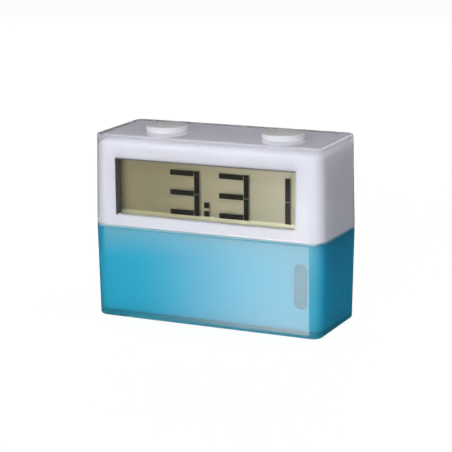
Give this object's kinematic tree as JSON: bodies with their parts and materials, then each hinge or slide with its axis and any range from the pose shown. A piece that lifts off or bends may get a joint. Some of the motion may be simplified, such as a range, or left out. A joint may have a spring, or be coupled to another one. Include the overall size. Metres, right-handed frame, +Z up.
{
  "type": "water clock",
  "caption": "Digital desk clock that runs on water: a white head with a display and push buttons in a clear cover, plugged into a blue water tank with a clear wall and metal plates inside.",
  "frame": {"origin": "middle of the tank's underside, which stands on the table", "axes": "+X to the viewer's right along the width, +Y from the display front to the back, +Z up"},
  "size_m": [0.095, 0.0376, 0.074],
  "materials": {
    "clear_blue": "clear moulded plastic with a faint blue tint, polished",
    "clear_cover": "clear moulded plastic, polished",
    "clear_pane": "clear plastic, polished",
    "display_glass": "thin clear glass",
    "reflector": "satin yellow-grey film",
    "tank_blue": "sky blue moulded plastic, semi-gloss",
    "housing_white": "cool white moulded plastic, semi-gloss",
    "button_white": "cool white moulded plastic, semi-gloss",
    "dark_plastic": "black moulded plastic",
    "can_sleeve": "dark blue shrink sleeve",
    "rubber": "dark grey silicone rubber",
    "circuit_green": "green solder mask on glass fibre",
    "ribbon": "flat ribbon cable",
    "red_wire": "red wire insulation",
    "black_wire": "black wire insulation",
    "steel": "plated steel",
    "zinc": "rolled zinc sheet",
    "copper": "rolled copper sheet"
  },
  "bodies": {
    "tank": {"tank_shell": "clear_blue", "tank_liner": "tank_blue", "level_window": "clear_pane"},
    "head": {"head_cover": "clear_cover", "head_housing": "housing_white", "display_lens": "clear_pane", "lcd_front_glass": "display_glass", "lcd_rear_glass": "display_glass", "lcd_reflector": "reflector", "lcd_frame": "dark_plastic", "zebra_strip": "rubber", "circuit_board": "circuit_green", "clock_chip": "dark_plastic", "quartz_crystal": "steel", "reserve_capacitor": "can_sleeve", "key_board": "circuit_green", "key_ribbon": "ribbon", "left_switch": "dark_plastic", "right_switch": "dark_plastic", "left_button_spring": "steel", "right_button_spring": "steel", "head_base": "housing_white", "tank_seal": "rubber", "zinc_plate_left": "zinc", "copper_plate_left": "copper", "zinc_plate_right": "zinc", "copper_plate_right": "copper", "cell_link": "copper", "positive_lead": "red_wire", "negative_lead": "black_wire", "base_screw_1": "steel", "base_screw_2": "steel", "base_screw_3": "steel", "base_screw_4": "steel", "board_screw_1": "steel", "board_screw_2": "steel", "board_screw_3": "steel", "board_screw_4": "steel", "key_board_screw_left": "steel", "key_board_screw_right": "steel"},
    "left_button": {"left_button": "button_white"},
    "right_button": {"right_button": "button_white"}
  },
  "joints": [
    {"name": "head_lift", "type": "slide", "parent": "tank", "child": "head", "axis": [0, 0, 1], "range_m": [0, 0.06]},
    {"name": "left_button_press", "type": "slide", "parent": "head", "child": "left_button", "axis": [0, 0, -1], "range_m": [0, 0.001], "stiffness_N_per_m": 300, "springref_m": -0.001, "deforming": ["left_button_spring"]},
    {"name": "right_button_press", "type": "slide", "parent": "head", "child": "right_button", "axis": [0, 0, -1], "range_m": [0, 0.001], "stiffness_N_per_m": 300, "springref_m": -0.001, "deforming": ["right_button_spring"]}
  ]
}
